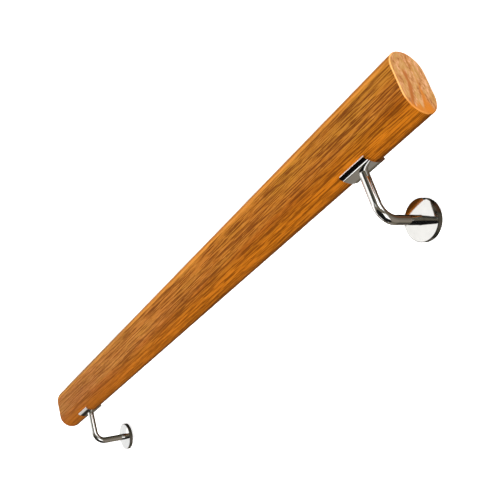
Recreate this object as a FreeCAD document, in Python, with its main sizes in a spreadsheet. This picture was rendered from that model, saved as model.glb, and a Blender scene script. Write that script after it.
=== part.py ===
import FreeCAD, Part
import math
import os
import Sketcher

# Length of oak wall handrail with two steel wall brackets, lying as it rests on a level floor.
#
# Two frames are used. The wall frame has X along the rail, Y up the wall and Z out of the wall,
# and each piece is drawn in it. The part's own frame has Z up from the floor, and the wall frame
# is leaned back about X until the rail and the tops of both roses touch that floor.

OUT = "parts"
# Edges are found by where they lie, to within this distance
NEAR = 0.01
doc = FreeCAD.newDocument("handrail_length")

# Driving dimensions in millimetres, degrees and whole numbers
sizes = doc.addObject("Spreadsheet::Sheet", "sizes")
DIMENSIONS = {
    "rail_length": 1200,
    "rail_width": 54,
    "rail_height": 87,
    "rail_arris": 1.2,
    "bracket_inset": 115,
    "wall_reach": 73,
    "arm_drop": 111,
    "rod_diameter": 13,
    "rod_bend": 21,
    "saddle_length": 48,
    "saddle_spread": 78,
    "saddle_thickness": 3,
    "saddle_corner": 1.5,
    "stud_diameter": 8,
    "stud_reach": 32,
    "stud_clearance": 0.2,
    "bore_runout": 3,
    "flange_thickness": 4,
    "flange_hole": 5.5,
    "flange_countersink": 9,
    "flange_circle": 38,
    "flange_holes": 3,
    "rose_diameter": 55,
    "rose_depth": 7,
    "rose_crown": 1.9,
    "rose_wall": 1.2,
    "rose_edge": 0.6,
    "rose_clearance": 0.2,
}
for row, (alias, value) in enumerate(DIMENSIONS.items(), start=1):
    sizes.set(f"A{row}", alias)
    sizes.set(f"B{row}", str(value))
    sizes.setAlias(f"B{row}", alias)
doc.recompute()

# Sizes that follow from the driving ones, as expressions
RAIL_RADIUS = "(sizes.rail_width / 2)"
HALF_FLAT = "((sizes.rail_height - sizes.rail_width) / 2)"
ROD_RADIUS = "(sizes.rod_diameter / 2)"
ROSE_RADIUS = "(sizes.rose_diameter / 2)"
ROSE_INSIDE = f"({ROSE_RADIUS} - sizes.rose_wall)"
FLANGE_RADIUS = f"({ROSE_INSIDE} - sizes.rose_clearance)"
ROSE_BORE = f"({ROD_RADIUS} + sizes.rose_clearance)"
# Radius of the rose's domed face, whose middle stands the crown's height above its edge
DOME_RADIUS = f"(({ROSE_RADIUS} ^ 2 + sizes.rose_crown ^ 2) / (2 * sizes.rose_crown))"
# How far from the rose's middle its dome is cut, which is a little past the edge
DOME_REACH = f"({ROSE_RADIUS} + sizes.rose_crown)"
SADDLE_RADIUS = f"({RAIL_RADIUS} + sizes.saddle_thickness)"
# Height of the saddle's curve centre above the arm, which is also the lower round of the rail
SADDLE_RISE = f"(sizes.arm_drop - {HALF_FLAT})"
STUD_TOP = f"({SADDLE_RISE} - {RAIL_RADIUS} + sizes.stud_reach)"

# The rail's upper round touches the floor beside the roses' top edges, and that sets the lean
TOUCH_RISE = f"({HALF_FLAT} + sizes.arm_drop - {ROSE_RADIUS})"
TOUCH_SPAN = f"sqrt(sizes.wall_reach ^ 2 + {TOUCH_RISE} ^ 2)"
LEAN = f"(atan(sizes.wall_reach / {TOUCH_RISE}) - asin({RAIL_RADIUS} / {TOUCH_SPAN}))"
FLOOR_DROP = f"((sizes.arm_drop - {ROSE_RADIUS}) * sin({LEAN}))"
# The middle of the leaned part, between the rail's back and the lower edge of the roses
REACH_BACK = f"({HALF_FLAT} * cos({LEAN}) + sizes.wall_reach * sin({LEAN}) + {RAIL_RADIUS})"
REACH_FRONT = f"((sizes.arm_drop + {ROSE_RADIUS}) * cos({LEAN}))"
CENTRE_SHIFT = f"(({REACH_BACK} - {REACH_FRONT}) / 2)"


def plane_of(body, role):
    """The body's own origin plane with this role."""
    for feature in body.Origin.OriginFeatures:
        if feature.Role == role:
            return feature


def new_body(label):
    body = doc.addObject("PartDesign::Body", label)
    body.Label = label
    return body


def lay(body, along, rise, out):
    """Places a body whose own origin is at this point of the wall frame."""
    body.Placement = FreeCAD.Placement(FreeCAD.Vector(), FreeCAD.Rotation(FreeCAD.Vector(-1, 0, 0), 1))
    body.setExpression("Placement.Base.x", f"{along}")
    body.setExpression("Placement.Base.y", f"{rise} * cos({LEAN}) + {out} * sin({LEAN}) - {CENTRE_SHIFT}")
    body.setExpression("Placement.Base.z", f"{out} * cos({LEAN}) - {rise} * sin({LEAN}) - {FLOOR_DROP}")
    body.setExpression("Placement.Rotation.Angle", LEAN)


def new_sketch(body, name, role, offset=()):
    """A sketch on an origin plane, moved by (axis, expression) pairs in the plane's own directions."""
    sketch = body.newObject("Sketcher::SketchObject", name)
    sketch.AttachmentSupport = (plane_of(body, role), [""])
    sketch.MapMode = "FlatFace"
    for axis, expression in offset:
        sketch.setExpression(f"AttachmentOffset.Base.{axis}", expression)
    return sketch


def hold(sketch, kind, name, expression, *where):
    """Adds a sized constraint and ties it to an expression."""
    index = sketch.addConstraint(Sketcher.Constraint(kind, *where, float(sketch.evalExpression(expression))))
    sketch.renameConstraint(index, name)
    sketch.setExpression(f"Constraints.{name}", expression)


def pin_point(sketch, name, geometry, end, across, up):
    """Fixes one point by its distances from the sketch's origin."""
    for kind, axis, expression in (("DistanceX", -2, across), ("DistanceY", -1, up)):
        if expression == "0":
            sketch.addConstraint(Sketcher.Constraint("PointOnObject", geometry, end, axis))
        else:
            hold(sketch, kind, f"{name}_{kind[-1].lower()}", expression, -1, 1, geometry, end)


def draw_polygon(sketch, corners):
    """A closed outline through corners given as pairs of expressions."""
    count = len(corners)
    # Any open shape will do to start with, because the constraints move its corners
    turn = 2 * math.pi / count
    start = [FreeCAD.Vector(math.cos(k * turn), math.sin(k * turn), 0) for k in range(count)]
    for k in range(count):
        sketch.addGeometry(Part.LineSegment(start[k], start[(k + 1) % count]))
    for k in range(count):
        sketch.addConstraint(Sketcher.Constraint("Coincident", k, 2, (k + 1) % count, 1))
    for k, (across, up) in enumerate(corners):
        pin_point(sketch, f"corner{k}", k, 1, across, up)


def draw_circle(sketch, name, radius, across="0", up="0"):
    index = sketch.addGeometry(Part.Circle(FreeCAD.Vector(1, 1, 0), FreeCAD.Vector(0, 0, 1), 1))
    hold(sketch, "Radius", f"{name}_radius", radius, index)
    pin_point(sketch, name, index, 3, across, up)


def edges_where(shape, wanted):
    """Names of the edges that this test picks."""
    return [f"Edge{k}" for k, edge in enumerate(shape.Edges, start=1) if wanted(edge)]


def cut_checked(body, feature, base):
    """Recomputes and stops if a cutting feature has taken nothing away."""
    doc.recompute()
    if not feature.Shape.Volume < base.Shape.Volume:
        raise RuntimeError(f"{feature.Name} cuts nothing from {body.Label}")


def make_rail():
    """Oak rail: an upright obround in section, its end edges eased, bored for both studs."""
    body = new_body("rail")
    section = new_sketch(body, "rail_section", "YZ_Plane")
    flat, radius = sizes.rail_height - sizes.rail_width, sizes.rail_width / 2
    centres = [FreeCAD.Vector(flat / 2, 0, 0), FreeCAD.Vector(-flat / 2, 0, 0)]
    turns = [(-math.pi / 2, math.pi / 2), (math.pi / 2, 3 * math.pi / 2)]
    for centre, (first, last) in zip(centres, turns):
        round_end = Part.Circle(centre, FreeCAD.Vector(0, 0, 1), radius)
        section.addGeometry(Part.ArcOfCircle(round_end, first, last))
    for side in (1, -1):
        ends = [centre + FreeCAD.Vector(0, side * radius, 0) for centre in centres]
        section.addGeometry(Part.LineSegment(*ends))
    for line, upper_end, lower_end in ((2, 2, 1), (3, 1, 2)):
        section.addConstraint(Sketcher.Constraint("Tangent", line, 1, 0, upper_end))
        section.addConstraint(Sketcher.Constraint("Tangent", line, 2, 1, lower_end))
    section.addConstraint(Sketcher.Constraint("Equal", 0, 1))
    section.addConstraint(Sketcher.Constraint("PointOnObject", 0, 3, -1))
    hold(section, "Radius", "round_radius", RAIL_RADIUS, 0)
    hold(section, "DistanceX", "upper_round", HALF_FLAT, -1, 1, 0, 3)
    hold(section, "DistanceX", "lower_round", HALF_FLAT, 1, 3, -1, 1)
    section.addConstraint(Sketcher.Constraint("PointOnObject", 1, 3, -1))
    bar = body.newObject("PartDesign::Pad", "rail_bar")
    bar.Profile = section
    bar.setExpression("Length", "sizes.rail_length")
    doc.recompute()

    ends = (0, float(sizes.rail_length))
    eased = body.newObject("PartDesign::Chamfer", "rail_eased_ends")
    eased.Base = (bar, edges_where(bar.Shape, lambda edge: edge.BoundBox.XLength < NEAR
                                   and min(abs(edge.CenterOfMass.x - end) for end in ends) < NEAR))
    eased.setExpression("Size", "sizes.rail_arris")

    bores = new_sketch(body, "stud_bore_centres", "XZ_Plane", [("z", "sizes.rail_height / 2")])
    for name, along in (("lower", "sizes.bracket_inset"), ("upper", "sizes.rail_length - sizes.bracket_inset")):
        draw_circle(bores, name, "sizes.stud_diameter / 2 + sizes.stud_clearance", along)
    drilled = body.newObject("PartDesign::Pocket", "stud_bores")
    drilled.Profile = bores
    drilled.setExpression("Length", "sizes.stud_reach + sizes.bore_runout")
    cut_checked(body, drilled, eased)
    lay(body, "-sizes.rail_length / 2", "0", "sizes.wall_reach")
    return body


def make_saddle(label, along):
    """Steel plate curved to the rail's lower round, with a hole for the arm's stud."""
    body = new_body(label)
    centre = [("y", SADDLE_RISE), ("z", "sizes.wall_reach")]
    strip = new_sketch(body, f"{label}_strip", "XY_Plane", centre)
    half = "sizes.saddle_length / 2"
    draw_polygon(strip, [(f"-{half}", f"-{SADDLE_RADIUS}"), (half, f"-{SADDLE_RADIUS}"),
                         (half, f"-{RAIL_RADIUS}"), (f"-{half}", f"-{RAIL_RADIUS}")])
    curved = body.newObject("PartDesign::Revolution", f"{label}_plate")
    curved.Profile = strip
    curved.ReferenceAxis = (strip, ["H_Axis"])
    curved.Midplane = True
    curved.setExpression("Angle", "sizes.saddle_spread")
    doc.recompute()

    # The four short edges through the plate's thickness
    cornered = body.newObject("PartDesign::Fillet", f"{label}_corners")
    cornered.Base = (curved, edges_where(curved.Shape, lambda edge: edge.Length < sizes.saddle_thickness + NEAR))
    cornered.setExpression("Radius", "sizes.saddle_corner")

    hole = new_sketch(body, f"{label}_stud_hole", "XZ_Plane")
    draw_circle(hole, "hole", "sizes.stud_diameter / 2 + sizes.stud_clearance", "0", "sizes.wall_reach")
    pierced = body.newObject("PartDesign::Pocket", f"{label}_pierced")
    pierced.Profile = hole
    pierced.setExpression("Length", "sizes.arm_drop")
    cut_checked(body, pierced, cornered)
    lay(body, along, "-sizes.arm_drop", "0")
    return body


def make_arm(label, along):
    """Bent round rod, coped to the saddle at the top, with a stud that goes up into the rail."""
    body = new_body(label)
    path = new_sketch(body, f"{label}_path", "YZ_Plane")
    bend, reach, start = (float(size) for size in (sizes.rod_bend, sizes.wall_reach, sizes.flange_thickness))
    rise = float(sizes.arm_drop - sizes.rail_height / 2)
    path.addGeometry(Part.LineSegment(FreeCAD.Vector(0, start, 0), FreeCAD.Vector(0, reach - bend, 0)))
    elbow = Part.Circle(FreeCAD.Vector(bend, reach - bend, 0), FreeCAD.Vector(0, 0, 1), bend)
    path.addGeometry(Part.ArcOfCircle(elbow, math.pi / 2, math.pi))
    path.addGeometry(Part.LineSegment(FreeCAD.Vector(bend, reach, 0), FreeCAD.Vector(rise, reach, 0)))
    path.addConstraint(Sketcher.Constraint("Tangent", 0, 2, 1, 2))
    path.addConstraint(Sketcher.Constraint("Tangent", 1, 1, 2, 1))
    path.addConstraint(Sketcher.Constraint("Vertical", 0))
    path.addConstraint(Sketcher.Constraint("Horizontal", 2))
    hold(path, "Radius", "bend_radius", "sizes.rod_bend", 1)
    pin_point(path, "wall_end", 0, 1, "0", "sizes.flange_thickness")
    # The rod is drawn one radius too long and then coped back to the saddle
    pin_point(path, "rail_end", 2, 2, f"{SADDLE_RISE} - {SADDLE_RADIUS} + {ROD_RADIUS}", "sizes.wall_reach")

    circle = new_sketch(body, f"{label}_section", "XY_Plane", [("z", "sizes.flange_thickness")])
    draw_circle(circle, "rod", ROD_RADIUS)
    rod = body.newObject("PartDesign::AdditivePipe", f"{label}_rod")
    rod.Profile = circle
    rod.Spine = (path, ["Edge1", "Edge2", "Edge3"])

    curve = new_sketch(body, f"{label}_saddle_curve", "YZ_Plane")
    draw_circle(curve, "curve", SADDLE_RADIUS, SADDLE_RISE, "sizes.wall_reach")
    coped = body.newObject("PartDesign::Pocket", f"{label}_coped")
    coped.Profile = curve
    coped.Midplane = True
    coped.setExpression("Length", "sizes.rod_diameter * 2")
    cut_checked(body, coped, rod)

    stud = body.newObject("PartDesign::AdditiveCylinder", f"{label}_stud")
    stud.AttachmentSupport = (plane_of(body, "XZ_Plane"), [""])
    stud.MapMode = "FlatFace"
    stud.setExpression("AttachmentOffset.Base.y", "sizes.wall_reach")
    stud.setExpression("AttachmentOffset.Base.z", f"-{STUD_TOP}")
    stud.setExpression("Radius", "sizes.stud_diameter / 2")
    # Its foot runs one rod radius down into the rod
    stud.setExpression("Height", f"sizes.stud_reach + sizes.saddle_thickness + {ROD_RADIUS}")
    lay(body, along, "-sizes.arm_drop", "0")
    return body


def make_flange(label, along):
    """Round wall plate with a ring of countersunk screw holes, hidden by the rose."""
    body = new_body(label)
    disc = new_sketch(body, f"{label}_disc", "XY_Plane")
    draw_circle(disc, "disc", FLANGE_RADIUS)
    plate = body.newObject("PartDesign::Pad", f"{label}_plate")
    plate.Profile = disc
    plate.setExpression("Length", "sizes.flange_thickness")

    centre = new_sketch(body, f"{label}_hole_centre", "XY_Plane", [("z", "sizes.flange_thickness")])
    draw_circle(centre, "hole", "sizes.flange_hole / 2", "0", "sizes.flange_circle / 2")
    doc.recompute()
    hole = body.newObject("PartDesign::Hole", f"{label}_hole")
    hole.Profile = centre
    hole.DepthType = "ThroughAll"
    hole.setExpression("Diameter", "sizes.flange_hole")
    hole.HoleCutType = "Countersink"
    hole.HoleCutCustomValues = True
    hole.setExpression("HoleCutDiameter", "sizes.flange_countersink")
    hole.HoleCutCountersinkAngle = 90
    cut_checked(body, hole, plate)

    ring = body.newObject("PartDesign::PolarPattern", f"{label}_holes")
    ring.Originals = [hole]
    ring.Axis = (centre, ["N_Axis"])
    ring.Angle = 360
    ring.setExpression("Occurrences", "sizes.flange_holes")
    body.Tip = ring
    cut_checked(body, ring, hole)
    lay(body, along, "-sizes.arm_drop", "0")
    return body


def cut_dome(body, label, cover):
    """Turns the cover's face into a shallow dome, by sweeping its arc about a line through its centre."""
    arch = new_sketch(body, f"{label}_arch", "XZ_Plane",
                      [("y", f"sizes.rose_depth + sizes.rose_crown - {DOME_RADIUS}")])
    dome, reach = (float(arch.evalExpression(size)) for size in (DOME_RADIUS, DOME_REACH))
    half_angle = math.asin(reach / dome)
    circle = Part.Circle(FreeCAD.Vector(), FreeCAD.Vector(0, 0, 1), dome)
    arc = Part.ArcOfCircle(circle, math.pi / 2 - half_angle, math.pi / 2 + half_angle)
    above = [FreeCAD.Vector(across, dome + 1, 0) for across in (-reach, reach)]
    for piece in (arc, Part.LineSegment(arc.EndPoint, above[0]), Part.LineSegment(*above),
                  Part.LineSegment(above[1], arc.StartPoint)):
        arch.addGeometry(piece)
    for joint in ((0, 2, 1, 1), (1, 2, 2, 1), (2, 2, 3, 1), (3, 2, 0, 1), (0, 3, -1, 1)):
        arch.addConstraint(Sketcher.Constraint("Coincident", *joint))
    for upright in (1, 3):
        arch.addConstraint(Sketcher.Constraint("Vertical", upright))
    arch.addConstraint(Sketcher.Constraint("Symmetric", 0, 1, 0, 2, -2))
    hold(arch, "Radius", "dome_radius", DOME_RADIUS, 0)
    hold(arch, "DistanceX", "reach", DOME_REACH, -1, 1, 0, 1)
    hold(arch, "DistanceY", "top", f"{DOME_RADIUS} + sizes.rose_crown", -1, 1, 2, 1)
    arch.addConstraint(Sketcher.Constraint("Horizontal", 2))
    domed = body.newObject("PartDesign::Groove", f"{label}_dome")
    domed.Profile = arch
    domed.ReferenceAxis = (arch, ["H_Axis"])
    domed.Midplane = True
    domed.setExpression("Angle", f"2 * asin({DOME_REACH} / {DOME_RADIUS})")
    cut_checked(body, domed, cover)


def make_rose(label, along):
    """Thin turned cover with a domed face, which slips over the flange and closes on the rod."""
    body = new_body(label)
    profile = new_sketch(body, f"{label}_profile", "XZ_Plane")
    crown = "sizes.rose_depth + sizes.rose_crown"
    inner_depth = "sizes.rose_depth - sizes.rose_wall"
    # The bevel of the front edge runs on upward, past where the dome will cut it
    draw_polygon(profile, [(ROSE_INSIDE, "0"), (ROSE_RADIUS, "0"),
                           (ROSE_RADIUS, "sizes.rose_depth - sizes.rose_edge"),
                           (f"{ROSE_RADIUS} - sizes.rose_edge - sizes.rose_crown", crown),
                           (ROSE_BORE, crown), (ROSE_BORE, inner_depth), (ROSE_INSIDE, inner_depth)])
    cover = body.newObject("PartDesign::Revolution", f"{label}_cover")
    cover.Profile = profile
    cover.ReferenceAxis = (profile, ["V_Axis"])
    cover.Angle = 360
    cut_dome(body, label, cover)
    lay(body, along, "-sizes.arm_drop", "0")
    return body


# The pieces of the handrail
pieces = [make_rail()]
bracket_distance = "(sizes.rail_length / 2 - sizes.bracket_inset)"
for side, along in (("upper", bracket_distance), ("lower", f"-{bracket_distance}")):
    pieces.append(make_saddle(f"{side}_saddle", along))
    pieces.append(make_arm(f"{side}_arm", along))
    pieces.append(make_flange(f"{side}_wall_flange", along))
    pieces.append(make_rose(f"{side}_rose", along))
doc.recompute()

# Nothing is written unless every object is sound
for item in doc.Objects:
    if "Invalid" in item.State or "Error" in item.State:
        raise RuntimeError(f"{item.Name} failed: {item.State}")
for piece in pieces:
    if piece.Shape.isNull() or not piece.Shape.isValid():
        raise RuntimeError(f"{piece.Label} has no sound shape")

os.makedirs(OUT, exist_ok=True)
for piece in pieces:
    piece.Shape.exportStep(f"{OUT}/{piece.Label}.step")
    box = piece.Shape.BoundBox
    print(f"{piece.Label}: volume {piece.Shape.Volume:.0f}, solids {len(piece.Shape.Solids)}, "
          f"x {box.XMin:.2f} {box.XMax:.2f}, y {box.YMin:.2f} {box.YMax:.2f}, z {box.ZMin:.2f} {box.ZMax:.2f}")
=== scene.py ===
"""Looks of the oak wall handrail: materials, soft studio light, pale floor and the photograph's view."""

import math

import bpy
from mathutils import Euler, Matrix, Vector

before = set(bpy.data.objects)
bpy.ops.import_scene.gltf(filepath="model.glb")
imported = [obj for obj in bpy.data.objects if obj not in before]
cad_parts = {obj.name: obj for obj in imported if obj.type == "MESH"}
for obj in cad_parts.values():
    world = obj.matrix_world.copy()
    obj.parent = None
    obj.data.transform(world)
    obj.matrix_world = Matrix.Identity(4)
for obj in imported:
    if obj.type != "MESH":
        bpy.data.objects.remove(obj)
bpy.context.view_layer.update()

# All lengths are in metres, and all colours are linear

SIDES = ("upper", "lower")
# The wall frame is leaned back about X by this much, so that the part lies on the floor
LEAN = math.radians(23.53)
WALL_UP = (0.0, math.cos(LEAN), -math.sin(LEAN))
ROOMWARD = (0.0, math.sin(LEAN), math.cos(LEAN))
# The middle of the rail's section, about which the wood's grain is laid out
RAIL_MIDDLE = (0.0, 0.0570, 0.0336)
# Each bracket's place along the rail, and the height of a rose's centre up the leaning wall
BRACKET_PLACE = 0.485
ROSE_HEIGHT = -0.0722

# The photograph's view on a 36 mm sensor, with the turn in degrees and the lens in millimetres
CAMERA_PLACE = (0.9975, -0.0724, 0.7520)
CAMERA_TURN = (-28.862, 39.525, -49.348)
CAMERA_LENS = 51.19
SENSOR = 36.0

# Each noise pattern of the oak has its lumps per metre along the grain, up and out, its octaves and roughness.
# Those in lines sway with the grain, and those in patches don't.
LINE_PATTERNS = {
    "bands": ((1.6, 95.0, 60.0), 2.0, 0.5),
    "streaks": ((12.5, 620.0, 620.0), 2.0, 0.6),
    "dashes": ((26.0, 870.0, 870.0), 1.0, 0.5),
    "fibres": ((45.0, 1300.0, 1300.0), 2.0, 0.6),
}
PATCH_PATTERNS = {
    "patches": ((9.0, 48.0, 48.0), 2.0, 0.5),
    "mottle": ((1.0, 90.0, 240.0), 4.0, 0.7),
    "tint": ((1.0, 60.0, 170.0), 2.0, 0.5),
}
NOISE_MIDDLE = 0.5
# Noise that bends a form has its lumps per metre, its octaves and how far it moves the form
SWAY = ((1.3, 7.0, 7.0), 1.0, 0.010)
WAVE = ((1.0, 60.0, 60.0), 2.0, 0.006)
TONGUES = ((1.0, 40.0, 220.0), 2.0, 0.050)
# How strongly the lines shorten towards the upper end
LINES_SHORTEN = 0.40

# The end grain's streak: how far out it lies, and the height below which it leans out with this slope
STREAK_OUT = 0.0088
STREAK_BEND = -0.003
STREAK_SLOPE = 0.31
# Its flame: how far out it lies, its top, and how it spreads below that
FLAME_OUT = -0.0065
FLAME_TOP = 0.0
FLAME_SLOPE = 0.17

# A mask names what it follows, then two values of that and the mask's weight at each. A mask with only a name
# is taken as it is. A wash is a blend, a colour and masks, which are multiplied. Washes are laid in this order.
UPPER_ROUND_LIFT = ("along", 0.25, 0.55, 0.0, 0.0025)
PORE_MASKS = (("streaks", 0.505, 0.550, 0.0, 0.95), ("dashes", 0.54, 0.62, 0.0, 0.60))
SIDE_SHADES = ((0.34, (0.325, 0.098, 0.0062)), (0.50, (0.355, 0.122, 0.0085)), (0.64, (0.370, 0.144, 0.0108)))
SIDE_WASHES = (
    # Growth bands and pale fibres
    ("MIX", (0.220, 0.065, 0.0030), ("bands", 0.42, 0.68, 0.0, 0.35)),
    ("MIX", (0.500, 0.196, 0.0300), ("fibres", 0.42, 0.68, 0.0, 0.60)),
    # Pinker towards the lower end, and a little darker near the upper end
    ("MULTIPLY", (0.93, 0.97, 1.90), ("along", -0.60, 0.40, 1.0, 0.0)),
    ("MULTIPLY", (0.90, 0.89, 0.88), ("along", 0.10, 0.45, 0.0, 1.0), ("up", 0.0180, 0.0215, 1.0, 0.0)),
    # Painted light: the upper round is painted paler, as light from above makes it, and the lower round is
    # painted a smoother, deeper and lighter orange, a painted lit band
    ("MIX", (0.650, 0.252, 0.0400), ("lifted_up", 0.0205, 0.0250, 0.0, 0.75)),
    ("MULTIPLY", (0.92, 0.77, 0.48), ("up", -0.0240, -0.0165, 1.0, 0.0)),
    ("MIX", (0.555, 0.163, 0.0080), ("up", -0.0375, -0.0280, 0.68, 0.0)),
    # Open pores, fainter on both rounds and towards the lower end
    ("MIX", (0.112, 0.030, 0.0016), ("up", -0.0370, -0.0220, 0.80, 1.0), ("up", 0.0215, 0.0250, 1.0, 0.45),
     ("along", -0.60, 0.10, 0.75, 1.0), ("pores",)),
    # Painted shade: the crest is painted darker. Both rounds are also darker towards the lower end
    ("MIX", (0.200, 0.065, 0.0060), ("up", 0.0275, 0.0325, 0.0, 0.60)),
    ("MULTIPLY", (0.64, 0.76, 1.15), ("up", 0.0235, 0.0270, 0.0, 1.0), ("along", -0.38, 0.06, 1.0, 0.0)),
    ("MIX", (0.250, 0.072, 0.0090), ("up", -0.0340, -0.0240, 1.0, 0.0), ("along", -0.60, 0.05, 0.40, 0.0)),
    # Painted shade: the back and underside, away from the light of the room, are painted darker
    ("MIX", (0.130, 0.036, 0.0018), ("out", -0.0040, 0.0010, 0.80, 0.0)),
)
END_SHADES = ((0.36, (0.31, 0.108, 0.036)), (0.49, (0.530, 0.248, 0.092)), (0.63, (0.70, 0.400, 0.215)))
END_WASHES = (
    # Yellower lumps
    ("MIX", (0.48, 0.265, 0.075), ("tint", 0.46, 0.60, 0.0, 0.60)),
    # The dark streak, which starts below the upper round, and the orange flame
    ("MIX", (0.40, 0.120, 0.030), ("off_streak", 0.0012, 0.0042, 0.90, 0.0), ("up", 0.010, 0.020, 1.0, 0.0)),
    ("MIX", (0.56, 0.180, 0.026), ("off_flame", -0.002, 0.002, 0.85, 0.0)),
    # The orange bottom, with tongues along its upper limit, and the darker rim on the side of the room
    ("MIX", (0.58, 0.185, 0.022), ("tongued_up", -0.036, -0.026, 0.85, 0.0), ("out", -0.017, -0.008, 0.3, 1.0)),
    ("MIX", (0.46, 0.185, 0.060), ("out", 0.017, 0.025, 0.0, 0.45)),
)
# Painted shade and light on the eased edges: where they face away from the room they are painted dark, as
# shaded
ARRIS_PAINTED_SHADE = (0.22, 0.085, 0.025)
ARRIS_PAINTED_LIGHT = (
    # Painted light: a painted highlight where the edge faces the room, and a lit orange painted round the
    # bottom
    ("MIX", (0.78, 0.38, 0.125), ("roomward", -0.25, 0.15, 0.0, 1.0)),
    ("MIX", (0.54, 0.190, 0.028), ("up", -0.031, -0.019, 0.85, 0.0)),
)
# How far a face looks along the rail, from 0 to 1, where the eased edge and then the end begins
ARRIS_FROM = 0.3
END_FROM = 0.9
OAK_SPECULAR = 0.05
# Two values of the pores, and the roughness at each
OAK_ROUGHNESS = ("pores", 0.0, 0.7, 0.46, 0.60)
PORE_RELIEF = 0.20
PORE_DEPTH = 0.0004

# Each noise pattern of the steel has its lumps per metre and its octaves
SMEAR = ((70.0, 70.0, 70.0), 3.0)
GRINDING = ((900.0, 120.0, 120.0), 2.0)
ROLLING = ((900.0, 60.0, 60.0), 2.0)
# The two values of a pattern at which the steel has its two shades and roughnesses
STEEL_RANGE = (0.3, 0.7)
STEEL_WARMTH = 0.010
POLISHED_SPREAD = 0.025
POLISHED_ROUGHNESS = (0.035, 0.085)
MILLED_SHADES = (0.42, 0.60)
MILLED_ROUGHNESS = (0.30, 0.45)
# An edge that looks up the wall by more than this is ground satin, and is rougher and less metallic
SATIN_FROM = 0.45
SATIN_SHADES = (0.78, 0.90)
SATIN_ROUGHNESS = 0.5
SATIN_METAL_LOSS = 0.85
# The radii between which a rose's polished face passes into its edge, which is painted dark as shade
RIM_SHADE_RADII = (0.0262, 0.0268)
# The painted shade on a rose's outer edge and side
RIM_PAINTED_SHADE = (0.36, 0.36, 0.35)

FLOOR_SIDE = 16.0
FLOOR_GREY = 0.86
FLOOR_GLOW = 0.75
BACKDROP_RADIUS = 0.49 * FLOOR_SIDE
BACKDROP_GLOW = 0.98
PAINT_ROUGHNESS = 0.9
WHITE = (1.0, 1.0, 1.0)

# Each light's name and the point that it faces, its azimuth and elevation from there in degrees, and its
# distance, width, height and radiance
FILL_LIGHTS = (
    ("fill_high_side", (-0.1, 0.0, 0.05), 94, 12, 2.4, 3.0, 0.8, 9.3),
    ("fill_low_side", (0.1, 0.0, 0.05), 268, 66, 2.4, 3.0, 0.8, 9.2),
    ("fill_end", (0.6, 0.05, 0.05), 0, 20, 2.2, 1.4, 1.4, 8.0),
)
# The softboxes stand round the nearer bracket
STUDIO_MIDDLE = (0.45, -0.02, 0.05)
SOFTBOXES = (
    ("box_near", STUDIO_MIDDLE, 15, 9, 4.0, 1.5, 1.5, 1.40),
    ("box_high", STUDIO_MIDDLE, 132, 36, 3.4, 3.6, 1.8, 1.08),
    ("box_room", STUDIO_MIDDLE, 320, 31, 3.4, 2.3, 1.8, 1.35),
)
ROOM_COLOUR = (0.150, 0.132, 0.098)
# Azimuth and elevation, inner and outer radius in degrees, and colour of each patch of the room
ROOM_PATCHES = (
    (80, -70, 48, 60, (0.070, 0.062, 0.044)),
    (314, -24, 24, 34, (0.175, 0.152, 0.118)),
    (304, -4, 22, 32, (0.255, 0.218, 0.178)),
    (110, -25, 14, 30, (0.010, 0.008, 0.006)),
    (75, -66, 14, 26, (0.012, 0.009, 0.006)),
    (5, -62, 10, 22, (0.130, 0.060, 0.030)),
    (70, 38, 14, 24, (0.045, 0.045, 0.040)),
    (67, 55, 6, 12, (0.60, 0.60, 0.58)),
    (260, 58, 42, 48, (0.010, 0.010, 0.010)),
    (230, -5, 10, 15, (0.28, 0.25, 0.21)),
    (229, -25, 10, 16, (0.28, 0.25, 0.21)),
    (230, 21, 8, 12, (0.004, 0.003, 0.003)),
    (204, 2, 5, 8, (0.035, 0.026, 0.020)),
    (340, 9, 7, 11, (0.80, 0.78, 0.73)),
    (233, 13, 1.6, 2.4, (1.6, 1.6, 1.6)),
    (199, 20, 8, 13, (0.80, 0.78, 0.74)),
    (166, 15, 17, 20, (1.08, 1.08, 1.08)),
    (252, -29, 10, 16, (0.060, 0.055, 0.045)),
    (18, -8, 18, 23, (1.4, 1.4, 1.4)),
)


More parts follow.
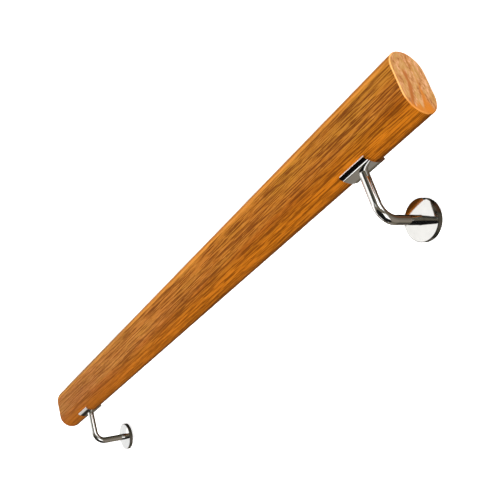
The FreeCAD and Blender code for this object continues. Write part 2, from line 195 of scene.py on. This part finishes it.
class Nodes:
    """The node tree of a new material or world, and the recipes that fill it.

    Each value that a recipe takes is a plain one or another node's output.
    """

    def __init__(self, owner):
        owner.use_nodes = True
        self.owner = owner
        self.tree = owner.node_tree
        self.shader = next(node for node in self.tree.nodes if node.type in ("BSDF_PRINCIPLED", "BACKGROUND"))

    def finish(self, inputs):
        """Feeds the tree's shader, and gives the finished material or world."""
        for key, value in inputs.items():
            self.feed(self.shader.inputs[key], value)
        return self.owner

    def add(self, kind, inputs, **settings):
        node = self.tree.nodes.new(kind)
        for key, value in settings.items():
            setattr(node, key, value)
        for key, value in inputs.items():
            self.feed(node.inputs[key], value)
        return node

    def feed(self, socket, value):
        """Links an output, or sets a plain value. Plain colours are given without their alpha."""
        if isinstance(value, bpy.types.NodeSocket):
            self.tree.links.new(value, socket)
        elif socket.type == "RGBA":
            socket.default_value = (*value, 1.0)
        else:
            socket.default_value = value

    def coordinates(self, output):
        return self.add("ShaderNodeTexCoord", {}).outputs[output]

    def normal(self):
        return self.add("ShaderNodeNewGeometry", {}).outputs["Normal"]

    def math(self, operation, first, second=0.0):
        return self.add("ShaderNodeMath", {0: first, 1: second}, operation=operation).outputs[0]

    def dot(self, first, second):
        return self.add("ShaderNodeVectorMath", {0: first, 1: second}, operation="DOT_PRODUCT").outputs["Value"]

    def split(self, vector):
        """The X, Y and Z of a vector."""
        return self.add("ShaderNodeSeparateXYZ", {0: vector}).outputs

    def span(self, value, low, high, start=0.0, end=1.0):
        """Maps a value between low and high smoothly to start and end."""
        inputs = {"Value": value, "From Min": low, "From Max": high, "To Min": start, "To Max": end}
        return self.add("ShaderNodeMapRange", inputs, interpolation_type="SMOOTHSTEP").outputs["Result"]

    def below(self, height, level, slope):
        """How far a height is below a level, times a slope, and nothing above it."""
        depth = self.math("MAXIMUM", self.math("SUBTRACT", level, height), 0.0)
        return self.math("MULTIPLY", depth, slope)

    def noise(self, vector, lumps, octaves, roughness=0.5):
        """Noise with so many lumps per metre along each axis."""
        stretched = self.add("ShaderNodeVectorMath", {0: vector, 1: lumps}, operation="MULTIPLY").outputs[0]
        inputs = {"Vector": stretched, "Scale": 1.0, "Detail": octaves, "Roughness": roughness}
        return self.add("ShaderNodeTexNoise", inputs).outputs["Fac"]

    def shift(self, vector, lumps, octaves, amount):
        """Noise about zero, to move a form by."""
        about_zero = self.math("SUBTRACT", self.noise(vector, lumps, octaves), NOISE_MIDDLE)
        return self.math("MULTIPLY", about_zero, amount)

    def ramp(self, factor, stops):
        """A colour ramp from (position, colour) pairs."""
        node = self.add("ShaderNodeValToRGB", {"Fac": factor})
        elements = node.color_ramp.elements
        while len(elements) < len(stops):
            elements.new(0.5)
        for element, (position, colour) in zip(elements, stops):
            element.position = position
            element.color = (*colour, 1.0)
        return node.outputs["Color"]

    def mix(self, factor, first, second, blend="MIX"):
        node = self.add("ShaderNodeMix", {0: factor}, data_type="RGBA", blend_type=blend)
        colours = [socket for socket in node.inputs if socket.type == "RGBA"]
        for socket, colour in zip(colours, (first, second)):
            self.feed(socket, colour)
        return next(socket for socket in node.outputs if socket.type == "RGBA")

    def masked(self, fields, mask):
        """The value of one mask, from the fields that a mask can follow."""
        name, *stretch = mask
        return self.span(fields[name], *stretch) if stretch else fields[name]

    def washed(self, colour, fields, washes):
        """Lays washes over a colour."""
        for blend, wash, *masks in washes:
            factor = self.masked(fields, masks[0])
            for mask in masks[1:]:
                factor = self.math("MULTIPLY", factor, self.masked(fields, mask))
            colour = self.mix(factor, colour, wash, blend)
        return colour


def oak_fields(n):
    """What the masks of the oak can follow.

    Along runs with the grain, up is the rail's height and out its width, all from the middle of the section.
    """
    lean = {"Vector": n.coordinates("Object"), "Center": RAIL_MIDDLE, "Angle": LEAN}
    upright = n.add("ShaderNodeVectorRotate", lean, rotation_type="X_AXIS").outputs[0]
    grain = n.add("ShaderNodeVectorMath", {0: upright, 1: RAIL_MIDDLE}, operation="SUBTRACT").outputs[0]
    along, up, out = n.split(grain)
    fields = {"along": along, "up": up, "out": out, "roomward": n.dot(n.normal(), ROOMWARD)}
    fields["lifted_up"] = n.math("SUBTRACT", up, n.masked(fields, UPPER_ROUND_LIFT))

    swayed_up = n.math("ADD", up, n.shift(grain, *SWAY))
    drawn_out = n.math("MULTIPLY", along, n.math("ADD", n.math("MULTIPLY", along, LINES_SHORTEN), 1.0))
    lines = n.add("ShaderNodeCombineXYZ", {0: drawn_out, 1: swayed_up, 2: out}).outputs[0]
    for vector, patterns in ((lines, LINE_PATTERNS), (grain, PATCH_PATTERNS)):
        for name, settings in patterns.items():
            fields[name] = n.noise(vector, *settings)
    fields["pores"] = n.math("MAXIMUM", *(n.masked(fields, mask) for mask in PORE_MASKS))

    wave = n.shift(grain, *WAVE)
    streak_out = n.math("ADD", n.below(up, STREAK_BEND, STREAK_SLOPE), STREAK_OUT)
    fields["off_streak"] = n.math("ABSOLUTE", n.math("ADD", n.math("SUBTRACT", out, streak_out), wave))
    off_flame = n.math("ABSOLUTE", n.math("ADD", n.math("SUBTRACT", out, FLAME_OUT), wave))
    fields["off_flame"] = n.math("SUBTRACT", off_flame, n.below(up, FLAME_TOP, FLAME_SLOPE))
    fields["tongued_up"] = n.math("ADD", up, n.shift(grain, *TONGUES))
    return fields


def oak():
    """Lacquered oak sawn along the grain: growth bands, dark open pores, pale end grain, and painted light and
    shade on its rounds, crest, back and eased edges.
    """
    n = Nodes(bpy.data.materials.new("oak"))
    fields = oak_fields(n)
    side = n.washed(n.ramp(fields["patches"], SIDE_SHADES), fields, SIDE_WASHES)
    end = n.washed(n.ramp(fields["mottle"], END_SHADES), fields, END_WASHES)
    arris = n.washed(ARRIS_PAINTED_SHADE, fields, ARRIS_PAINTED_LIGHT)
    endwise = n.math("ABSOLUTE", n.split(n.normal())["X"])
    colour = n.mix(n.math("GREATER_THAN", endwise, ARRIS_FROM), side, arris)
    colour = n.mix(n.math("GREATER_THAN", endwise, END_FROM), colour, end)
    height = n.math("SUBTRACT", 1.0, fields["pores"])
    relief = {"Height": height, "Strength": PORE_RELIEF, "Distance": PORE_DEPTH}
    return n.finish({
        "Base Color": colour,
        "Roughness": n.masked(fields, OAK_ROUGHNESS),
        "Specular IOR Level": OAK_SPECULAR,
        "Normal": n.add("ShaderNodeBump", relief).outputs["Normal"],
    })


def steel_shades(*greys):
    """The stops of a steel's colour ramp."""
    return [(place, (grey, grey, grey - STEEL_WARMTH)) for place, grey in zip(STEEL_RANGE, greys)]


def polished_steel(name, shade, satin_edges=False, painted_rim_shade=False):
    """Mirror polished stainless steel with the faint unevenness of hand polishing.

    The long sawn edges of a saddle, which face up the wall, are ground satin and catch the light. The outer
    edge and side of a rose are painted darker than its polished face: painted shade.
    """
    n = Nodes(bpy.data.materials.new(name))
    place = n.coordinates("Object")
    smear = n.noise(place, *SMEAR)
    colour = n.ramp(smear, steel_shades(shade - POLISHED_SPREAD, shade + POLISHED_SPREAD))
    rough = n.span(smear, *STEEL_RANGE, *POLISHED_ROUGHNESS)
    metal = 1.0
    if satin_edges:
        edge = n.math("GREATER_THAN", n.dot(n.normal(), WALL_UP), SATIN_FROM)
        colour = n.mix(edge, colour, n.ramp(n.noise(place, *GRINDING), steel_shades(*SATIN_SHADES)))
        rough = n.math("MAXIMUM", rough, n.math("MULTIPLY", edge, SATIN_ROUGHNESS))
        metal = n.math("SUBTRACT", 1.0, n.math("MULTIPLY", edge, SATIN_METAL_LOSS))
    # Painted shade: the rose's outer edge and side are painted dark
    if painted_rim_shade:
        across = n.math("SUBTRACT", n.math("ABSOLUTE", n.split(place)["X"]), BRACKET_PLACE)
        height = n.math("SUBTRACT", n.dot(place, WALL_UP), ROSE_HEIGHT)
        squares = (n.math("MULTIPLY", length, length) for length in (across, height))
        radius = n.math("SQRT", n.math("ADD", *squares))
        colour = n.mix(n.span(radius, *RIM_SHADE_RADII), colour, RIM_PAINTED_SHADE)
    return n.finish({"Metallic": metal, "Base Color": colour, "Roughness": rough})


def plain_steel():
    """Mill finish stainless steel of the hidden wall flanges."""
    n = Nodes(bpy.data.materials.new("plain_steel"))
    rolling = n.noise(n.coordinates("Object"), *ROLLING)
    return n.finish({
        "Metallic": 1.0,
        "Base Color": n.ramp(rolling, steel_shades(*MILLED_SHADES)),
        "Roughness": n.span(rolling, *STEEL_RANGE, *MILLED_ROUGHNESS),
    })


def dress(node, material):
    """Puts one material on a CAD piece."""
    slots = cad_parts[node].data.materials
    slots.clear()
    slots.append(material)


def paint(surface, name, grey, glow, unseen_by):
    """Names a surface of the studio, paints it matt and glowing, and hides it from these kinds of rays."""
    surface.name = name
    n = Nodes(bpy.data.materials.new(f"{name}_paint"))
    surface.data.materials.append(n.finish({
        "Base Color": (grey, grey, grey),
        "Roughness": PAINT_ROUGHNESS,
        "Specular IOR Level": 0.0,
        "Emission Color": WHITE,
        "Emission Strength": glow,
    }))
    for rays in unseen_by:
        setattr(surface, f"visible_{rays}", False)


def pale_floor():
    """A floor that glows a little, so that shadows on it stay faint. Mirror rays pass it by."""
    bpy.ops.mesh.primitive_plane_add(size=FLOOR_SIDE, location=(0.0, 0.0, 0.0))
    floor = bpy.context.object
    paint(floor, "floor", FLOOR_GREY, FLOOR_GLOW, ("glossy", "diffuse"))


def pale_backdrop():
    """A plain dome that only the camera sees: light and mirror images come from the studio behind it."""
    bpy.ops.mesh.primitive_uv_sphere_add(radius=BACKDROP_RADIUS, segments=64, ring_count=32)
    dome = bpy.context.object
    paint(dome, "backdrop", 0.0, BACKDROP_GLOW, ("glossy", "diffuse", "transmission", "shadow"))


def heading(azimuth, elevation):
    """The direction at these angles in degrees, from +X towards +Y and up."""
    turn, rise = math.radians(azimuth), math.radians(elevation)
    return Vector((math.cos(rise) * math.cos(turn), math.cos(rise) * math.sin(turn), math.sin(rise)))


def light(name, middle, azimuth, elevation, distance, width, height, radiance, mirrored):
    """A rectangular light. One that isn't mirrored only fills, and shows in no reflection."""
    area = bpy.data.lights.new(name, "AREA")
    area.shape = "RECTANGLE"
    area.size = width
    area.size_y = height
    area.energy = radiance * math.pi * width * height
    lamp = bpy.data.objects.new(name, area)
    away = heading(azimuth, elevation)
    lamp.location = Vector(middle) + away * distance
    lamp.rotation_euler = away.to_track_quat("Z", "Y").to_euler()
    lamp.visible_glossy = mirrored
    bpy.context.scene.collection.objects.link(lamp)


def dark_room():
    """A dim warm room with soft lighter and darker patches, which only the polished steel shows clearly."""
    n = Nodes(bpy.data.worlds.new("studio"))
    direction = n.coordinates("Generated")
    colour = ROOM_COLOUR
    for azimuth, elevation, inside, outside, patch in ROOM_PATCHES:
        facing = n.dot(direction, heading(azimuth, elevation))
        limits = (math.cos(math.radians(radius)) for radius in (outside, inside))
        colour = n.mix(n.span(facing, *limits), colour, patch)
    return n.finish({"Color": colour, "Strength": 1.0})


def studio():
    """Plain soft light. The polished steel mirrors only the softboxes and the room."""
    for settings in FILL_LIGHTS:
        light(*settings, mirrored=False)
    for settings in SOFTBOXES:
        light(*settings, mirrored=True)
    bpy.context.scene.world = dark_room()


def camera():
    data = bpy.data.cameras.new("photo_view")
    data.sensor_width = SENSOR
    data.lens = CAMERA_LENS
    view = bpy.data.objects.new("photo_view", data)
    view.location = CAMERA_PLACE
    view.rotation_euler = Euler([math.radians(angle) for angle in CAMERA_TURN])
    bpy.context.scene.collection.objects.link(view)
    bpy.context.scene.camera = view


# The rods, saddles and roses are one steel painted in three brightnesses: the saddles and roses are painted
# darker, a painted shade on their reflections
finishes = {
    "saddle": polished_steel("polished_steel_satin_edged", shade=0.755, satin_edges=True),
    "arm": polished_steel("polished_steel_rod", shade=0.85),
    "rose": polished_steel("polished_steel_cover", shade=0.72, painted_rim_shade=True),
    "wall_flange": plain_steel(),
}
dress("rail", oak())
for side in SIDES:
    for piece, finish in finishes.items():
        dress(f"{side}_{piece}", finish)
pale_floor()
pale_backdrop()
studio()
camera()
bpy.context.scene.view_settings.view_transform = "Standard"
